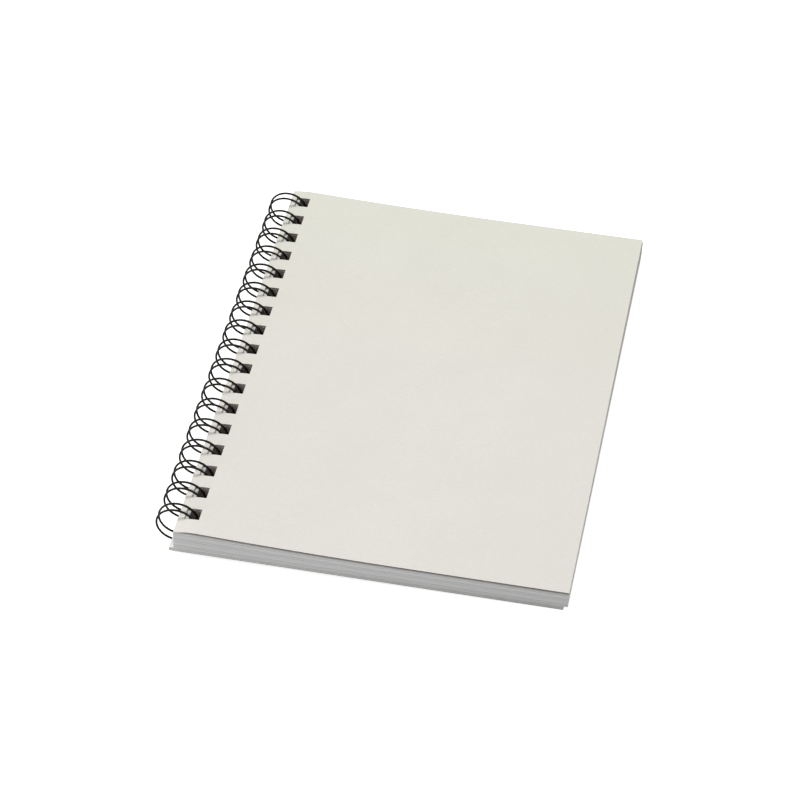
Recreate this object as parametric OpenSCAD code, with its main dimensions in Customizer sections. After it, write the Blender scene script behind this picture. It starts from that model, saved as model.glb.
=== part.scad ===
// Pocket notebook bound along its long edge with a twin-loop wire.
// It is drawn flat first, with the spine edge of the sheets on x = 0 and the underside of the
// back cover on z = 0, and then laid down: its loops lift the spine a little off the table.

/* [Sheets] */
// Width of the sheets, from the spine edge to the fore edge
sheet_w = 105; // [70:1:160]
// Length of the sheets, along the spine
sheet_l = 148; // [100:1:230]
// Thickness of all the sheets together at the fore edge
pages_t = 4.45; // [2.5:0.05:5.5]
// Extra thickness of the sheets at the spine, where the punched holes keep them apart
spine_swell = 1.4; // [0:0.05:1.8]
// Width of the stretch over which that thickness grows
swell_w = 61; // [30:1:68]

/* [Covers] */
// Thickness of the front cover's card
front_t = 0.35; // [0.25:0.05:0.8]
// Thickness of the back cover's board
back_t = 1.2; // [0.5:0.05:1.6]
// How far the front cover's card stands off the sheets
front_gap = 0.35; // [0.1:0.05:0.6]
// How far the front cover stops short of the sheets at the fore edge
front_short = 0.2; // [0:0.05:0.8]
// Gap between sheets and covers where they lie on each other
lie_gap = 0.05; // [0.02:0.01:0.1]
// How far the spine edge of cover and sheets bows down
edge_droop = 0.4; // [0:0.05:0.8]
// Width of the strip that bows down
droop_w = 7; // [4:0.5:14]

/* [Punched holes] */
// Distance from one hole to the next
pitch = 8.467; // [7.5:0.001:12.7]
// Side of a square hole
hole = 4; // [3.6:0.1:5]
// Strip left between the holes and the spine edge of the sheets and the front cover
hole_strip = 1.6; // [1.2:0.1:3]
// Strip left between the holes and the spine edge of the back cover
back_strip = 1.7; // [1.6:0.05:3]
// Least distance from the centre of an end hole to the end of the sheet
end_margin = 6; // [4:0.1:9]
// How far the row of holes sits off the middle of the spine
row_shift = 0.9; // [0:0.1:2]

/* [Twin-loop wire] */
// Thickness of the coated wire
wire_d = 0.6; // [0.5:0.05:1]
// How far the wire's middle stands above the closed notebook at the top of a loop
loop_room = 1.6; // [1.5:0.05:3]
// Free width between a wire and the side of its hole
side_play = 0.45; // [0.2:0.05:0.6]
// Free width between the wire and the fore side of the holes in the sheets
fore_play = 0.8; // [0.5:0.05:1.2]
// Free width between the wire and the fore side of the holes in the back cover
hang_play = 0.1; // [0.05:0.01:0.3]
// Radius of the bends at the root of a loop, at the wire's middle
root_bend = 0.75; // [0.5:0.05:1]
// Free width around the straight root wires, between the last sheet and the back cover
seat_play = 0.1; // [0.05:0.01:0.2]
// Gap between the round tip of a loop and the root wires that it closes on
tip_gap = 0.15; // [0.05:0.05:0.4]

/* [Hidden] */
$fn = 48;
wire_sides = 24;
profile_steps = 24;
past = 1;

// Row of holes
loops = floor((sheet_l - 2 * end_margin) / pitch) + 1;
hole_mid = hole_strip + hole / 2;
function hole_y(i) = row_shift + ((loops - 1) / 2 - i) * pitch;

// Heights of the pile, spine edge at x = 0
front_w = sheet_w - front_short;
pages_z = back_t + lie_gap;
function near_edge(x, w) = pow(max(0, 1 - x / w), 2);
function pages_top(x) =
    pages_z + pages_t + spine_swell * near_edge(x, swell_w) - edge_droop * near_edge(x, droop_w);
function front_under(x) = pages_top(x) + lie_gap + front_gap * (1 - near_edge(x, droop_w));
function front_top(x) = front_under(x) + front_t;

// Circle of the loops
wire_r = wire_d / 2;
wire_gap = hole - 2 * side_play - wire_d;
loop_z = front_top(hole_mid) / 2;
loop_r = front_top(hole_mid) - loop_z + loop_room;
loop_x = hole_strip + hole - fore_play - wire_r - loop_r;
loop_out = loop_r + wire_r;

// Closed seam, where the tips meet the root wires
root_z = back_t + seat_play + wire_r;
root_reach = norm([loop_r, root_bend]);
root_angle = asin((root_z - loop_z) / root_reach);
root_x = loop_x + root_reach * cos(root_angle);
leg_end = root_angle - atan2(root_bend, loop_r);
tip_r = wire_gap / 2;
tip_angle = root_angle + (wire_d + tip_gap) / loop_r * 180 / PI + atan2(tip_r, loop_r);

// A ball a little thicker than the wire joins each leg to its bend, and the leg ends inside it
joint_r = 1.04 * wire_r;
joint_turn = 0.3;

// The back cover hangs on the wire, so it lies nearer the spine than the sheets do
back_slip = back_strip + hole - hang_play - loop_x - sqrt(pow(loop_out, 2) - pow(loop_z - back_t, 2));

// The closed notebook rests on its loops and on the back cover's fore edge
rest_x = sheet_w - back_slip;
lean = asin(loop_out / norm([rest_x - loop_x, loop_z])) - atan2(loop_z, rest_x - loop_x);
function lying_x(x, z) = (x - rest_x) * cos(lean) + z * sin(lean);
left_x = lying_x(loop_x, loop_z) - loop_out;
right_x = max(lying_x(sheet_w, pages_top(sheet_w)), lying_x(front_w, front_top(front_w)));

// Lays a piece of the flat notebook down on z = 0, with the middle of the whole over the origin
module lying() {
    translate([-(left_x + right_x) / 2, 0, 0])
        rotate([0, lean, 0])
            translate([-rest_x, 0, 0])
                children();
}

// Stretches an outline in x and z along the spine, from one end of the sheets to the other
module along_spine(points, length) {
    translate([0, length / 2, 0])
        rotate([90, 0, 0])
            linear_extrude(length)
                polygon(points);
}

// Points from the spine edge to a fore edge, close together where the pile bends most
function across(i, width) = width * pow(i / profile_steps, 2);

// Row of square holes through everything between two heights, from their spine side at x
module holes(x, low, high) {
    for (i = [0 : loops - 1])
        translate([x, hole_y(i) - hole / 2, low])
            cube([hole, hole, high - low]);
}

// Card bent over the swollen spine
module front_cover() {
    xs = [for (i = [0 : profile_steps]) across(i, front_w)];
    color("#e1e0d6")
        lying()
            difference() {
                along_spine(concat(
                    [for (i = [0 : profile_steps]) [xs[i], front_under(xs[i])]],
                    [for (i = [profile_steps : -1 : 0]) [xs[i], front_top(xs[i])]]
                ), sheet_l);
                holes(hole_strip, pages_z, front_top(hole_mid) + past);
            }
}

// All the sheets as one solid. The straight root wires lie in a groove that they press into
// the last sheets, from the first loop to the last.
module page_block() {
    xs = [for (i = [0 : profile_steps]) across(i, sheet_w)];
    groove_w = wire_d + 2 * seat_play;
    color("#f4f3ef")
        lying()
            difference() {
                along_spine(concat(
                    [[sheet_w, pages_z], [0, pages_z]],
                    [for (x = xs) [x, pages_top(x)]]
                ), sheet_l);
                holes(hole_strip, 0, front_top(hole_mid) + past);
                translate([root_x - groove_w / 2, hole_y(loops - 1), 0])
                    cube([groove_w, hole_y(0) - hole_y(loops - 1), root_z + wire_r + seat_play]);
            }
}

// Flat board
module back_cover() {
    color("#c9c4b8")
        lying()
            difference() {
                translate([-back_slip, -sheet_l / 2, 0])
                    cube([sheet_w, sheet_l, back_t]);
                holes(back_strip - back_slip, -past, back_t + past);
            }
}

// Wire along an arc about z, from one angle to another
module bend(radius, from, to) {
    rotate([0, 0, from])
        rotate_extrude(angle = to - from)
            translate([radius, 0])
                circle(wire_r, $fn = wire_sides);
}

// Places a piece at an angle of the loops' circle: x points outward, y along the wire's run
// and z down the spine
module on_circle(angle, y) {
    translate([loop_x, y, loop_z])
        rotate([90, 0, 0])
            rotate([0, 0, angle])
                translate([loop_r, 0, 0])
                    children();
}

// One double loop: two legs round the circle, joined by a round tip. It is drawn with the tip at
// angle 0, so that legs and tip meet exactly, and then turned to its place.
module double_loop(y) {
    translate([loop_x, y, loop_z])
        rotate([90, 0, 0])
            rotate([0, 0, tip_angle]) {
                for (side = [-1, 1])
                    translate([0, 0, side * tip_r])
                        bend(loop_r, 0, leg_end + 360 - joint_turn - tip_angle);
                translate([loop_r, 0, 0])
                    rotate([0, 90, 0])
                        bend(tip_r, 180, 360);
            }
}

// Root between two loops: a ball on the end of each leg, a bend out of it, and the straight wire
// between the bends. Here x points back up the spine and y along the wire's run.
module root(y_from, y_to) {
    run = y_from - y_to - wire_gap;
    on_circle(leg_end, y_from - tip_r)
        rotate([0, 90, 0]) {
            sphere(joint_r, $fn = wire_sides);
            translate([-root_bend, 0, 0])
                bend(root_bend, 0, 90);
            translate([-root_bend, root_bend, 0])
                rotate([0, -90, 0])
                    cylinder(h = run - 2 * root_bend, r = wire_r, $fn = wire_sides);
            translate([root_bend - run, 0, 0])
                bend(root_bend, 90, 180);
            translate([-run, 0, 0])
                sphere(joint_r, $fn = wire_sides);
        }
}

// One wire, bent into a comb of double loops and closed on its own root
module twin_loop_wire() {
    color("#1c1b1a")
        lying() {
            for (i = [0 : loops - 1])
                double_loop(hole_y(i));
            for (i = [1 : loops - 1])
                root(hole_y(i - 1), hole_y(i));
        }
}

front_cover();
page_block();
back_cover();
twin_loop_wire();
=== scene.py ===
"""Looks of the twin-loop wire notebook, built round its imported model.

Sizes are in mm, and places are those of the flat notebook, as in the part's source: x runs from the
spine edge of the sheets to the fore edge, y from the tail to the head, and z up. lie() takes a
place to the frame.
"""

import math
import random

import bmesh
import bpy
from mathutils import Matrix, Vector


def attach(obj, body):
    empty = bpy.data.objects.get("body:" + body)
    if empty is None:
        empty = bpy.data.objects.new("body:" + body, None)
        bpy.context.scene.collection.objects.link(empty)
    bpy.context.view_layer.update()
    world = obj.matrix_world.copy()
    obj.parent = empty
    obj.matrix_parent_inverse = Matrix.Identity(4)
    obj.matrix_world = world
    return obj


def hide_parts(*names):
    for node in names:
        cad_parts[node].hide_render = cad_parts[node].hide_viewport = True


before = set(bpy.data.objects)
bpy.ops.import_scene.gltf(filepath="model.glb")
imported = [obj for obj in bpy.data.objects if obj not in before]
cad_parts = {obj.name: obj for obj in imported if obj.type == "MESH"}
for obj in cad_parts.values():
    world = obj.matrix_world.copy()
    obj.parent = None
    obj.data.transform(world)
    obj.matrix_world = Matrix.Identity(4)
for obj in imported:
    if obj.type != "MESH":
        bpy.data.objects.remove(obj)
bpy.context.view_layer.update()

# Sheets
SHEET_W = 105.0
SHEET_L = 148.0
PAGES_T = 4.45
SPINE_SWELL = 1.4
SWELL_W = 61.0

# Covers
FRONT_T = 0.35
FRONT_GAP = 0.35
FRONT_SHORT = 0.2
BACK_T = 1.2
LIE_GAP = 0.05
EDGE_DROOP = 0.4
DROOP_W = 7.0

# Punched holes
PITCH = 8.467
HOLE = 4.0
HOLE_STRIP = 1.6
BACK_STRIP = 1.7
END_MARGIN = 6.0
ROW_SHIFT = 0.9

# Wire
WIRE_D = 0.6
LOOP_ROOM = 1.6
FORE_PLAY = 0.8
HANG_PLAY = 0.1
ROOT_BEND = 0.75
SEAT_PLAY = 0.1

# Leaves of the block. The upper ones lie loose on the wire, their holes nearer the fore edge, and
# all are trimmed a little askew and not quite alike.
LEAVES = 46
LEAF_FILL = 0.955
LOOSE_FROM = 0.55
LOOSE_SHIFT = 1.0
EDGE_SKEW = 0.25
SPINE_SCATTER = 0.12
FORE_SCATTER = 0.07
END_SCATTER = 0.045
END_SCATTER_MOST = 0.14
LEAF_SEED = 11

# Tones of the leaves, 0 to 1: groups of neighbours are alike, smaller groups further down
LOW_LEAVES = 12
LOW_GROUPS, LOW_SPREAD = (1, 2), 0.5
HIGH_GROUPS, HIGH_SPREAD = (2, 3, 4), 0.2
MIDDLE_TONE = 0.6

# Places of the mesh lines across the pieces, close together where they bend most
LEAF_XS = [7.0, 9.5, 13, 18, 25, 33, 42, 52, 61, 83, SHEET_W]
COVER_BEND_END = 12
ROUNDING = 1e-6
SMOOTH_BELOW_DEG = 25

# Derived sizes of the notebook, as in the part's source
LOOPS = int((SHEET_L - 2 * END_MARGIN) // PITCH) + 1
HOLE_MID = HOLE_STRIP + HOLE / 2
PAGES_Z = BACK_T + LIE_GAP
FRONT_W = SHEET_W - FRONT_SHORT


def near_edge(x, w):
    """Falls from 1 at the spine edge to 0 at x = w."""
    return max(0.0, 1 - x / w) ** 2


def pages_top(x):
    swell = SPINE_SWELL * near_edge(x, SWELL_W)
    droop = EDGE_DROOP * near_edge(x, DROOP_W)
    return PAGES_Z + PAGES_T + swell - droop


def front_under(x):
    return pages_top(x) + LIE_GAP + FRONT_GAP * (1 - near_edge(x, DROOP_W))


def front_top(x):
    return front_under(x) + FRONT_T


def hole_y(i):
    return ROW_SHIFT + ((LOOPS - 1) / 2 - i) * PITCH


# Loops and the groove for their root wires
WIRE_R = WIRE_D / 2
LOOP_Z = front_top(HOLE_MID) / 2
LOOP_R = front_top(HOLE_MID) - LOOP_Z + LOOP_ROOM
LOOP_X = HOLE_STRIP + HOLE - FORE_PLAY - WIRE_R - LOOP_R
LOOP_OUT = LOOP_R + WIRE_R
ROOT_Z = BACK_T + SEAT_PLAY + WIRE_R
ROOT_REACH = math.hypot(LOOP_R, ROOT_BEND)
ROOT_X = LOOP_X + ROOT_REACH * math.cos(math.asin((ROOT_Z - LOOP_Z) / ROOT_REACH))
GROOVE = (ROOT_X - WIRE_R - SEAT_PLAY, ROOT_X + WIRE_R + SEAT_PLAY)
GROOVE_TOP = ROOT_Z + WIRE_R + SEAT_PLAY

# How the back cover hangs on the wire, and how the closed notebook leans
HANG_REACH = math.sqrt(LOOP_OUT**2 - (LOOP_Z - BACK_T) ** 2)
BACK_SLIP = BACK_STRIP + HOLE - HANG_PLAY - LOOP_X - HANG_REACH
REST_X = SHEET_W - BACK_SLIP
REST_REACH = REST_X - LOOP_X
LEAN = math.asin(LOOP_OUT / math.hypot(REST_REACH, LOOP_Z)) - math.atan2(LOOP_Z, REST_REACH)


def lying_x(x, z):
    return (x - REST_X) * math.cos(LEAN) + z * math.sin(LEAN)


LEFT_X = lying_x(LOOP_X, LOOP_Z) - LOOP_OUT
RIGHT_X = max(lying_x(SHEET_W, pages_top(SHEET_W)), lying_x(FRONT_W, front_top(FRONT_W)))


def lie(x, y, z):
    """A place of the flat notebook, in mm, to its place in the frame, in metres."""
    frame_x = lying_x(x, z) - (LEFT_X + RIGHT_X) / 2
    frame_z = -(x - REST_X) * math.sin(LEAN) + z * math.cos(LEAN)
    return Vector((frame_x / 1000, y / 1000, frame_z / 1000))


def add(nt, kind, **values):
    """A new shader node with these properties."""
    n = nt.nodes.new(kind)
    for name, value in values.items():
        setattr(n, name, value)
    return n


def new_material(name, rough=0.9, specular=0.25):
    """A material with its node tree, its shader and the places on the object."""
    m = bpy.data.materials.new(name)
    m.use_nodes = True
    nt = m.node_tree
    nt.nodes.clear()
    out = add(nt, "ShaderNodeOutputMaterial")
    bsdf = add(nt, "ShaderNodeBsdfPrincipled")
    bsdf.inputs["Roughness"].default_value = rough
    bsdf.inputs["Specular IOR Level"].default_value = specular
    nt.links.new(bsdf.outputs["BSDF"], out.inputs["Surface"])
    co = add(nt, "ShaderNodeTexCoord").outputs["Object"]
    return m, nt, bsdf, co


def noise(nt, co, scale, detail, rough, stretch=None):
    n = add(nt, "ShaderNodeTexNoise")
    n.inputs["Scale"].default_value = scale
    n.inputs["Detail"].default_value = detail
    n.inputs["Roughness"].default_value = rough
    if stretch:
        mapping = add(nt, "ShaderNodeMapping")
        mapping.inputs["Scale"].default_value = stretch
        nt.links.new(co, mapping.inputs["Vector"])
        co = mapping.outputs["Vector"]
    nt.links.new(co, n.inputs["Vector"])
    return n.outputs["Fac"]


def ramp(nt, fac, *stops):
    """Colours between (position, colour) stops."""
    r = add(nt, "ShaderNodeValToRGB")
    elements = r.color_ramp.elements
    while len(elements) < len(stops):
        elements.new(0.5)
    for element, (position, colour) in zip(elements, stops):
        element.position = position
        element.color = (*colour, 1)
    nt.links.new(fac, r.inputs["Fac"])
    return r.outputs["Color"]


def mix(nt, fac, a, b, blend="MIX"):
    m = add(nt, "ShaderNodeMix", data_type="RGBA", blend_type=blend)
    for socket, value in ((m.inputs["Factor"], fac), (m.inputs["A"], a), (m.inputs["B"], b)):
        if isinstance(value, float):
            socket.default_value = value
        elif isinstance(value, tuple):
            socket.default_value = (*value, 1)
        else:
            nt.links.new(value, socket)
    return m.outputs["Result"]


def multiply(nt, first, *others):
    for other in others:
        first = mix(nt, 1.0, first, other, "MULTIPLY")
    return first


def between(nt, co, axis, low, high):
    """Rises from 0 where the place's axis is at low, in metres, to 1 at high."""
    apart = add(nt, "ShaderNodeSeparateXYZ")
    nt.links.new(co, apart.inputs["Vector"])
    rise = add(nt, "ShaderNodeMapRange")
    rise.inputs["From Min"].default_value = low
    rise.inputs["From Max"].default_value = high
    nt.links.new(apart.outputs[axis], rise.inputs["Value"])
    return rise.outputs["Result"]


def tail_to_head(nt, co):
    """Rises from 0 at the tail end of the notebook to 1 at its head."""
    end = SHEET_L / 2 / 1000
    return between(nt, co, "Y", -end, end)


def bump(nt, bsdf, *heights):
    """Bump from (height, distance in metres) pairs, one after the other."""
    normal = None
    for height, distance in heights:
        b = add(nt, "ShaderNodeBump")
        b.inputs["Strength"].default_value = 1.0
        b.inputs["Distance"].default_value = distance
        nt.links.new(height, b.inputs["Height"])
        if normal:
            nt.links.new(normal, b.inputs["Normal"])
        normal = b.outputs["Normal"]
    nt.links.new(normal, bsdf.inputs["Normal"])


def shade(colour, factor):
    return tuple(v * factor for v in colour)


def grey(value):
    return (value, value, value)


def card_material():
    """Uncoated ivory card: faint cloudiness, fine fibres, a felt-like tooth."""
    m, nt, bsdf, co = new_material("ivory_card", rough=0.82, specular=0.3)
    ivory = (0.765, 0.757, 0.686)
    cloud = noise(nt, co, scale=55, detail=4, rough=0.55)
    fibre = noise(nt, co, scale=900, detail=3, rough=0.6, stretch=(1.0, 3.2, 1.0))
    tooth = noise(nt, co, scale=3200, detail=2, rough=0.5)
    base = ramp(nt, cloud, (0.3, shade(ivory, 0.985)), (0.7, shade(ivory, 1.012)))
    flecks = ramp(
        nt,
        fibre,
        (0.36, (0.965, 0.963, 0.955)),
        (0.52, grey(1)),
        (0.8, (1.012, 1.012, 1.015)),
    )
    tint = ramp(
        nt,
        tail_to_head(nt, co),
        (0.0, (1.0, 0.984, 1.012)),
        (0.5, (0.996, 0.985, 1.0)),
        (1.0, (0.984, 0.986, 0.968)),
    )
    nt.links.new(multiply(nt, base, flecks, tint), bsdf.inputs["Base Color"])
    bump(nt, bsdf, (fibre, 12e-6), (tooth, 6e-6))
    return m


def card_edge_material():
    """Cut edges of the card: light next to the spine edge, where the gap under the cover closes,
    and further in a dark brown, a painted shade of that gap.
    """
    m, nt, bsdf, co = new_material("card_edge", specular=0.2)
    unshaded_edge = (0.62, 0.59, 0.58)
    unshaded_to = lie(1.2, 0, 0).x
    painted_shade_from = lie(3.2, 0, 0).x
    edge_streaks = noise(nt, co, scale=1500, detail=3, rough=0.6, stretch=(0.4, 0.4, 4.0))
    # Painted shade: the dark brown on the card's edges stands for the shade in the gap under the
    # cover.
    painted_gap_shade = ramp(nt, edge_streaks, (0.3, (0.135, 0.120, 0.116)), (0.7, (0.205, 0.187, 0.18)))
    inward = between(nt, co, "X", unshaded_to, painted_shade_from)
    nt.links.new(mix(nt, inward, unshaded_edge, painted_gap_shade), bsdf.inputs["Base Color"])
    bump(nt, bsdf, (edge_streaks, 20e-6))
    return m


def paper_material(name, white, at_head=None):
    """Writing paper, its faces or its cut edges: each leaf has its own tone. at_head is the tint
    that it reaches at the head, a painted shade along the notebook where it is used."""
    m, nt, bsdf, co = new_material(name)
    tone = add(nt, "ShaderNodeAttribute", attribute_name="tone").outputs["Fac"]
    leaf = ramp(nt, tone, (0.0, shade(white, 0.80)), (1.0, shade(white, 1.05)))
    tooth = noise(nt, co, scale=2600, detail=3, rough=0.6)
    colours = [leaf, ramp(nt, tooth, (0.3, (0.975, 0.975, 0.97)), (0.55, grey(1)))]
    if at_head:
        colours.append(ramp(nt, tail_to_head(nt, co), (0.0, grey(1)), (1.0, at_head)))
    nt.links.new(multiply(nt, *colours), bsdf.inputs["Base Color"])
    bump(nt, bsdf, (tooth, 5e-6))
    return m


def hole_shade_material():
    """The cut walls inside the punched holes: darkened to a brown, a painted shade of the deep
    holes.
    """
    m, nt, bsdf, co = new_material("punched_edge_painted_shade", specular=0.2)
    layer = noise(nt, co, scale=1300, detail=3, rough=0.6, stretch=(0.3, 0.3, 8.0))
    # Painted shade: the hole walls are far darker and browner than the paper, for the shade deep in
    # the holes.
    painted_hole_shade = ramp(nt, layer, (0.3, (0.35, 0.285, 0.26)), (0.7, (0.64, 0.54, 0.50)))
    nt.links.new(painted_hole_shade, bsdf.inputs["Base Color"])
    bump(nt, bsdf, (layer, 20e-6))
    return m


def lining_material():
    """White lining on the inner side of the board."""
    m, nt, bsdf, co = new_material("white_lining", rough=0.85, specular=0.3)
    cloud = noise(nt, co, scale=80, detail=4, rough=0.55)
    fibre = noise(nt, co, scale=1100, detail=3, rough=0.6, stretch=(1.0, 3.0, 1.0))
    base = ramp(nt, cloud, (0.3, (0.80, 0.795, 0.77)), (0.7, (0.83, 0.825, 0.80)))
    flecks = ramp(nt, fibre, (0.33, (0.96, 0.96, 0.955)), (0.5, grey(1)))
    nt.links.new(multiply(nt, base, flecks), bsdf.inputs["Base Color"])
    bump(nt, bsdf, (fibre, 10e-6))
    return m


def board_material():
    """Grey board: short dark and light fibres, pressed layers along its cut edges."""
    m, nt, bsdf, co = new_material("grey_board", rough=0.88)
    pulp = (0.53, 0.523, 0.512)
    cloud = noise(nt, co, scale=70, detail=4, rough=0.6)
    fibre = noise(nt, co, scale=1500, detail=4, rough=0.65, stretch=(1.0, 2.4, 1.0))
    layer = noise(nt, co, scale=900, detail=2, rough=0.6, stretch=(0.03, 0.03, 9.0))
    base = ramp(nt, cloud, (0.3, shade(pulp, 0.98)), (0.7, shade(pulp, 1.015)))
    specks = ramp(
        nt,
        fibre,
        (0.3, (0.82, 0.81, 0.8)),
        (0.46, grey(1)),
        (0.75, (1.05, 1.05, 1.06)),
    )
    lines = ramp(nt, layer, (0.35, grey(0.96)), (0.6, grey(1.01)))
    nt.links.new(multiply(nt, base, specks, lines), bsdf.inputs["Base Color"])
    bump(nt, bsdf, (fibre, 20e-6), (layer, 20e-6))
    return m


def wire_material():
    """Black nylon coat on steel wire: slightly uneven gloss."""
    m, nt, bsdf, co = new_material("black_coated_wire", specular=0.1)
    peel = noise(nt, co, scale=1800, detail=2, rough=0.5)
    wear = noise(nt, co, scale=260, detail=3, rough=0.6)
    coat = ramp(nt, wear, (0.3, (0.0075, 0.0066, 0.0042)), (0.75, (0.013, 0.0116, 0.0078)))
    nt.links.new(coat, bsdf.inputs["Base Color"])
    gloss = add(nt, "ShaderNodeMapRange")
    gloss.inputs["To Min"].default_value = 0.3
    gloss.inputs["To Max"].default_value = 0.44
    nt.links.new(wear, gloss.inputs["Value"])
    nt.links.new(gloss.outputs["Result"], bsdf.inputs["Roughness"])
    bump(nt, bsdf, (peel, 6e-6))
    return m


CARD = card_material()
PAPER = paper_material("writing_paper", (0.79, 0.79, 0.78))
CUT = paper_material("cut_paper", grey(0.67))
# The fore edge: a warm tint, lighter than the page white at the tail and darker at the head, a
# painted light and shade along the edge.
FORE = paper_material("fore_edge_paper", (0.92, 0.90, 0.85), at_head=(0.82, 0.80, 0.76))
BOARD = board_material()
HOLE_SHADE = hole_shade_material()
LINING = lining_material()
CARD_EDGE = card_edge_material()
WIRE = wire_material()


def steps(a, b, n):
    return [a + (b - a) * (i / n) for i in range(n + 1)]


HOLE_XS = steps(HOLE_STRIP, HOLE_STRIP + HOLE, 6)


def punched(bm, xs, ends, under, over, paint, hole_a=HOLE_STRIP, slot=None, skew=0.0):
    """Adds one closed punched sheet to bm.

    It runs between two ends along y, its section has the heights under(x) and over(x) at the
    places xs, and the row of square holes is cut through it from x = hole_a. slot=(x0, x1) joins
    the holes into one long slit. skew is how much nearer the spine its trimmed edges lie at the
    tail than at the head. paint gives the material index of a kind of face: over, under, spine,
    fore, end, spine_wall for the spine side of a hole and wall for its other sides.
    """
    hole_b = hole_a + HOLE
    cuts = []
    for i in reversed(range(LOOPS)):
        cuts += [hole_y(i) - HOLE / 2, hole_y(i) + HOLE / 2]
    lines = [ends[0], *cuts, ends[1]]
    last = len(lines) - 2
    at_holes = [hole_a - ROUNDING <= x <= hole_b + ROUNDING for x in xs]

    def corners(x, z, ys):
        off = skew if x in (xs[0], xs[-1]) else 0.0
        return [bm.verts.new(lie(x - off * (0.5 - y / SHEET_L), y, z)) for y in ys]

    def face(points, kind):
        bm.faces.new(points).material_index = paint.get(kind, 0)

    def is_open(c, r):
        """Is row r between the lines c and c + 1 cut away?"""
        if not 0 <= c < len(xs) - 1 or not (at_holes[c] and at_holes[c + 1]):
            return False
        if r % 2 == 1:
            return True
        mid = (xs[c] + xs[c + 1]) / 2
        return bool(slot) and 0 < r < last and slot[0] < mid < slot[1]

    top, low = [], []
    for x, all_lines in zip(xs, at_holes):
        ys = lines if all_lines else ends
        top.append(corners(x, over(x), ys))
        low.append(corners(x, under(x), ys))

    # Upper and lower faces, and the two ends
    for c in range(len(xs) - 1):
        if at_holes[c] and at_holes[c + 1]:
            for r in range(last + 1):
                if not is_open(c, r):
                    face((top[c][r], top[c + 1][r], top[c + 1][r + 1], top[c][r + 1]), "over")
                    face((low[c][r], low[c][r + 1], low[c + 1][r + 1], low[c + 1][r]), "under")
        else:
            face((*top[c + 1], *reversed(top[c])), "over")
            face((*low[c], *reversed(low[c + 1])), "under")
        face((top[c][0], low[c][0], low[c + 1][0], top[c + 1][0]), "end")
        face((low[c][-1], top[c][-1], top[c + 1][-1], low[c + 1][-1]), "end")

    # Spine edge and fore edge
    for c, kind, turn in ((0, "spine", 1), (len(xs) - 1, "fore", -1)):
        for r in range(len(top[c]) - 1):
            face((top[c][r], top[c][r + 1], low[c][r + 1], low[c][r])[::turn], kind)

    # Walls of the holes and of the slit
    for c, all_lines in enumerate(at_holes):
        for r in range(last + 1 if all_lines else 0):
            before, after = is_open(c - 1, r), is_open(c, r)
            across = (top[c][r], top[c][r + 1], low[c][r + 1], low[c][r])
            if before and not after:
                face(across, "wall")
            if after and not before:
                face(across[::-1], "spine_wall")
            if after and r < last and not is_open(c, r + 1):
                face((top[c][r + 1], low[c][r + 1], low[c + 1][r + 1], top[c + 1][r + 1]), "wall")
            if after and r > 0 and not is_open(c, r - 1):
                face((top[c][r], top[c + 1][r], low[c + 1][r], low[c][r]), "wall")


def to_object(bm, name, body, materials, replaced):
    bmesh.ops.recalc_face_normals(bm, faces=bm.faces)
    for f in bm.faces:
        f.smooth = True
    for e in bm.edges:
        angle = e.calc_face_angle(0) if len(e.link_faces) == 2 else math.pi
        e.smooth = angle < math.radians(SMOOTH_BELOW_DEG)
    me = bpy.data.meshes.new(name)
    bm.to_mesh(me)
    bm.free()
    for material in materials:
        me.materials.append(material)
    o = bpy.data.objects.new(name, me)
    bpy.context.scene.collection.objects.link(o)
    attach(o, body)
    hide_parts(replaced)


def cover_card():
    before_holes = steps(0, HOLE_STRIP, 3)[:-1]
    bent = steps(HOLE_STRIP + HOLE, COVER_BEND_END, 8)[1:]
    flat = steps(COVER_BEND_END, FRONT_W, 30)[1:]
    xs = before_holes + HOLE_XS + bent + flat
    # The card's ends take the edge colour with its painted gap shade, and the walls of its holes
    # the painted hole shade.
    paint = {"end": 1, "wall": 2, "spine_wall": 2}
    bm = bmesh.new()
    punched(bm, xs, (-SHEET_L / 2, SHEET_L / 2), front_under, front_top, paint)
    materials = [CARD, CARD_EDGE, HOLE_SHADE]
    to_object(bm, "cover_card", "front_cover", materials, "front_cover")


def leaf_tones(rnd):
    """Tone of each leaf from the lowest up, in small groups of equal neighbours."""
    tones = []
    while len(tones) < LEAVES:
        is_low = len(tones) < LOW_LEAVES
        group = rnd.choice(LOW_GROUPS if is_low else HIGH_GROUPS)
        spread = LOW_SPREAD if is_low else HIGH_SPREAD
        tones += [MIDDLE_TONE + rnd.uniform(-spread, spread)] * group
    return tones[:LEAVES]


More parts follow.
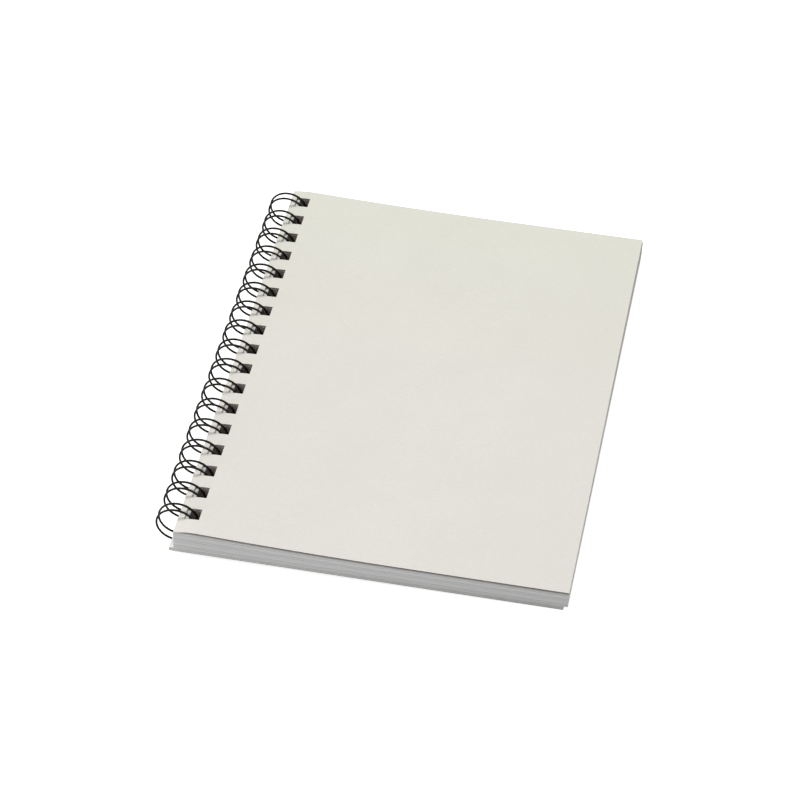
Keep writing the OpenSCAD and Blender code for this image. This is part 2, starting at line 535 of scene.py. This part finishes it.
def sheet_stack():
    rnd = random.Random(LEAF_SEED)
    tones = leaf_tones(rnd)
    leaf_t = PAGES_T / LEAVES * LEAF_FILL
    # Hole walls, except on the spine side, take the painted hole shade; the fore edge takes its
    # paper with painted light and shade.
    paint = {"wall": 1, "spine_wall": 2, "end": 2, "fore": 3}
    bm = bmesh.new()
    layer = bm.faces.layers.float.new("tone")
    for k in range(LEAVES):

        def under(x, k=k):
            return PAGES_Z + (pages_top(x) - PAGES_Z) * k / LEAVES

        def over(x, under=under):
            return under(x) + leaf_t

        loose = max(0.0, k / (LEAVES - 1) - LOOSE_FROM) / (1 - LOOSE_FROM)
        shift = LOOSE_SHIFT * loose**2
        hole_xs = [x + shift for x in HOLE_XS] + ([] if shift else list(GROOVE))
        xs = sorted({round(x, 6) for x in [0.0, HOLE_STRIP / 2, *hole_xs, *LEAF_XS]})
        xs[0] += rnd.uniform(0.0, SPINE_SCATTER)
        xs[-1] -= abs(rnd.gauss(0, FORE_SCATTER))
        ends = (
            -SHEET_L / 2 + min(END_SCATTER_MOST, abs(rnd.gauss(0, END_SCATTER))),
            SHEET_L / 2 - min(END_SCATTER_MOST, abs(rnd.gauss(0, END_SCATTER))),
        )
        slot = GROOVE if under(ROOT_X) < GROOVE_TOP else None
        made = len(bm.faces)
        punched(bm, xs, ends, under, over, paint, HOLE_STRIP + shift, slot, EDGE_SKEW)
        bm.faces.ensure_lookup_table()
        for f in bm.faces[made:]:
            f[layer] = tones[k]
    materials = [PAPER, HOLE_SHADE, CUT, FORE]
    to_object(bm, "sheets", "pages", materials, "page_block")


def board():
    hole_a = BACK_STRIP - BACK_SLIP
    xs = [-BACK_SLIP, hole_a, hole_a + HOLE, SHEET_W / 2, SHEET_W - BACK_SLIP]
    ends = (-SHEET_L / 2, SHEET_L / 2)
    bm = bmesh.new()
    punched(bm, xs, ends, lambda x: 0.0, lambda x: BACK_T, {"over": 1}, hole_a)
    to_object(bm, "board", "back_cover", [BOARD, LINING], "back_cover")


cover_card()
sheet_stack()
board()
for material_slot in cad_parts["twin_loop_wire"].material_slots:
    material_slot.material = WIRE

# Floor, light and camera, in metres, degrees and watts
FLOOR_HALF = 3.0
FLOOR_GREY = 0.72
FLOOR_GLOW = 0.78
WORLD_FILL = 0.44
WORLD_SEEN = 1.0
LAMPS = (
    # name, place, size, power
    ("key", (-1.0, 1.5, 3.0), 1.8, 75.9),
    ("side", (-0.3, -0.3, 0.08), 0.12, 0.5),
    ("fore_side", (1.6, 0.3, 0.35), 0.8, 2.6),
)
CAMERA_PLACE = (0.1112533, -0.6096400, 0.5531663)
CAMERA_TURN = (48.18011, -0.22801, 10.80941)
CAMERA_LENS_MM = 133.593
CAMERA_SENSOR_MM = 36.0
CAMERA_CLIP = (0.02, 20.0)


def backdrop(nt, output, lit, seen):
    """Shows seen to camera, glossy and transmission rays, and lights the object with lit."""
    ray = add(nt, "ShaderNodeLightPath")
    direct = ray.outputs["Is Camera Ray"]
    for kind in ("Is Glossy Ray", "Is Transmission Ray"):
        either = add(nt, "ShaderNodeMath", operation="MAXIMUM")
        nt.links.new(direct, either.inputs[0])
        nt.links.new(ray.outputs[kind], either.inputs[1])
        direct = either.outputs[0]
    pick = add(nt, "ShaderNodeMixShader")
    nt.links.new(direct, pick.inputs["Fac"])
    nt.links.new(lit, pick.inputs[1])
    nt.links.new(seen, pick.inputs[2])
    nt.links.new(pick.outputs[0], output.inputs["Surface"])


def floor_material():
    m = bpy.data.materials.new("floor")
    m.use_nodes = True
    nt = m.node_tree
    nt.nodes.clear()
    diffuse = add(nt, "ShaderNodeBsdfDiffuse")
    diffuse.inputs["Color"].default_value = (*grey(FLOOR_GREY), 1)
    glow = add(nt, "ShaderNodeEmission")
    glow.inputs["Strength"].default_value = FLOOR_GLOW
    both = add(nt, "ShaderNodeAddShader")
    nt.links.new(diffuse.outputs[0], both.inputs[0])
    nt.links.new(glow.outputs[0], both.inputs[1])
    output = add(nt, "ShaderNodeOutputMaterial")
    backdrop(nt, output, diffuse.outputs[0], both.outputs[0])
    return m


def make_floor():
    bm = bmesh.new()
    bmesh.ops.create_grid(bm, x_segments=2, y_segments=2, size=FLOOR_HALF)
    me = bpy.data.meshes.new("floor")
    bm.to_mesh(me)
    bm.free()
    me.materials.append(floor_material())
    o = bpy.data.objects.new("floor", me)
    bpy.context.scene.collection.objects.link(o)


def make_world():
    world = bpy.data.worlds.new("studio")
    bpy.context.scene.world = world
    world.use_nodes = True
    nt = world.node_tree
    nt.nodes.clear()
    whites = []
    for strength in (WORLD_FILL, WORLD_SEEN):
        white = add(nt, "ShaderNodeBackground")
        white.inputs["Color"].default_value = (*grey(1), 1)
        white.inputs["Strength"].default_value = strength
        whites.append(white.outputs[0])
    backdrop(nt, add(nt, "ShaderNodeOutputWorld"), *whites)


def make_lamp(name, place, size, power):
    """A round soft lamp that faces the middle of the notebook."""
    data = bpy.data.lights.new(name, "AREA")
    data.shape = "DISK"
    data.size = size
    data.energy = power
    o = bpy.data.objects.new(name, data)
    bpy.context.scene.collection.objects.link(o)
    o.location = place
    o.rotation_mode = "QUATERNION"
    o.rotation_quaternion = Vector(place).to_track_quat("Z", "Y")


def make_camera():
    data = bpy.data.cameras.new("camera")
    data.sensor_fit = "HORIZONTAL"
    data.sensor_width = CAMERA_SENSOR_MM
    data.lens = CAMERA_LENS_MM
    data.clip_start, data.clip_end = CAMERA_CLIP
    o = bpy.data.objects.new("camera", data)
    bpy.context.scene.collection.objects.link(o)
    o.location = CAMERA_PLACE
    o.rotation_euler = [math.radians(a) for a in CAMERA_TURN]
    bpy.context.scene.camera = o


make_floor()
make_world()
for lamp in LAMPS:
    make_lamp(*lamp)
make_camera()

bpy.context.scene.view_settings.view_transform = "Standard"

bpy.context.view_layer.update()
